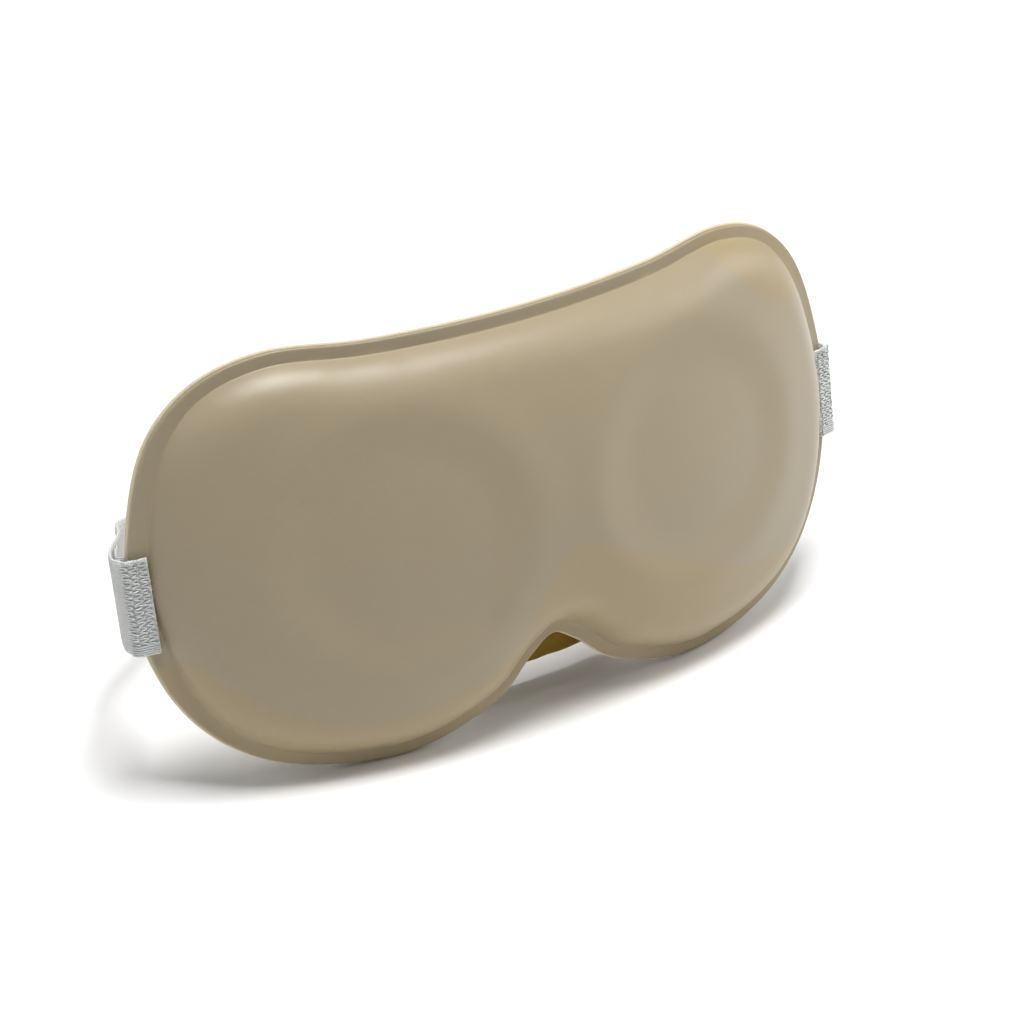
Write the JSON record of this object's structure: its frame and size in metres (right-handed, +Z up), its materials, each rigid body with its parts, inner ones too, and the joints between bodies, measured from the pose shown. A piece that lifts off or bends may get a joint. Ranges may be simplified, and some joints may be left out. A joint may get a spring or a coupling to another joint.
{
  "type": "eye massager mask",
  "caption": "Moulded wrap-round eye massager mask with padded skin side, recessed eye cups, vibration motors, a control pod and an adjustable elastic head strap.",
  "frame": {"origin": "on the floor plane, under the middle of the mask and strap as the mask stands on its lower lobes and strap", "axes": "+Z up, +X along the mask's width towards the wearer's left-hand end, -Y the way the outer cover faces"},
  "size_m": [0.2164, 0.1204, 0.1099],
  "materials": {
    "cover_skin": "satin moulded knit laminated to foam, warm beige",
    "foam": "open-cell foam",
    "frame_plastic": "moulded white",
    "cushion_foam": "slow-recovery foam",
    "lining_fabric": "brushed knit, cream",
    "nose_flap_fabric": "soft matt fabric, olive brown",
    "eye_cup_fabric": "smooth knit over the moulded cup",
    "heating_film": "printed copper track on film",
    "white_plastic": "fine satin moulding",
    "port_rubber": "soft matt",
    "steel": "plain",
    "brass": "turned",
    "circuit_board": "solder mask",
    "black_plastic": "moulded",
    "light_pipe": "clear moulding",
    "battery_wrap": "pouch foil",
    "lead_red": "insulated wire",
    "lead_black": "insulated wire",
    "strap_webbing": "woven elastic, white with a grey cast",
    "strap_fittings": "moulded white",
    "stitching": "dense zigzag thread"
  },
  "bodies": {
    "mask": {"outer_cover": "cover_skin", "foam_layer": "foam", "inner_frame": "frame_plastic", "face_cushion": "cushion_foam", "skin_lining": "lining_fabric", "nose_flap": "nose_flap_fabric", "eye_cup_left": "eye_cup_fabric", "eye_cup_right": "eye_cup_fabric", "heating_film_left": "heating_film", "heating_film_right": "heating_film", "motor_bridge_left": "white_plastic", "motor_bridge_right": "white_plastic", "motor_end_cap_left": "white_plastic", "motor_end_cap_right": "white_plastic", "pod_tray": "white_plastic", "pod_panel": "white_plastic", "motor_can_left": "steel", "motor_can_right": "steel", "port_cover_pin": "steel", "charging_port": "steel", "pod_screw_left": "steel", "pod_screw_right": "steel", "circuit_board": "circuit_board", "tact_switch": "black_plastic", "control_chip": "black_plastic", "status_led": "light_pipe", "light_pipe": "light_pipe", "battery": "battery_wrap", "battery_lead": "lead_red", "motor_lead_left": "lead_red", "motor_lead_right": "lead_red", "heater_lead_left": "lead_black", "heater_lead_right": "lead_black", "strap_end_left": "strap_webbing", "strap_end_right": "strap_webbing", "strap_fold_left": "strap_webbing", "strap_fold_right": "strap_webbing", "bar_tack_left": "stitching", "bar_tack_right": "stitching"},
    "left_rotor": {"motor_weight_left": "brass"},
    "right_rotor": {"motor_weight_right": "brass"},
    "button": {"power_button": "white_plastic"},
    "port_door": {"port_cover": "port_rubber"},
    "strap": {"strap_side_left": "strap_webbing", "strap_side_right": "strap_webbing", "strap_main": "strap_webbing", "strap_short": "strap_webbing", "strap_ring": "strap_fittings", "strap_tail": "strap_webbing"},
    "adjuster": {"strap_slider": "strap_fittings", "strap_tail_loop": "strap_webbing"}
  },
  "joints": [
    {"name": "left_motor_spin", "type": "hinge", "parent": "mask", "child": "left_rotor", "pos_m": [-0.04, -0.05027, 0.06024], "axis": [0, 0.1839, 0.9829], "continuous": true},
    {"name": "right_motor_spin", "type": "hinge", "parent": "mask", "child": "right_rotor", "pos_m": [0.04, -0.05027, 0.06024], "axis": [0, 0.1839, 0.9829], "continuous": true},
    {"name": "power_button_press", "type": "slide", "parent": "mask", "child": "button", "axis": [0, -0.9829, 0.1839], "range_m": [0, 0.0006], "stiffness_N_per_m": 600, "springref_m": -0.0005},
    {"name": "port_cover_open", "type": "hinge", "parent": "mask", "child": "port_door", "pos_m": [-0.0075, -0.03384, 0.0786], "axis": [-1, 0, 0], "range_deg": [0, 150]},
    {"name": "strap_swing", "type": "hinge", "parent": "mask", "child": "strap", "pos_m": [0, -0.01, 0.0495], "axis": [1, 0, 0], "range_deg": [-30, 60], "deforming": ["strap_fold_left", "strap_fold_right"]},
    {"name": "strap_adjust", "type": "slide", "parent": "strap", "child": "adjuster", "axis": [1, 0, 0], "range_m": [0, 0.026], "deforming": ["strap_tail"]}
  ]
}
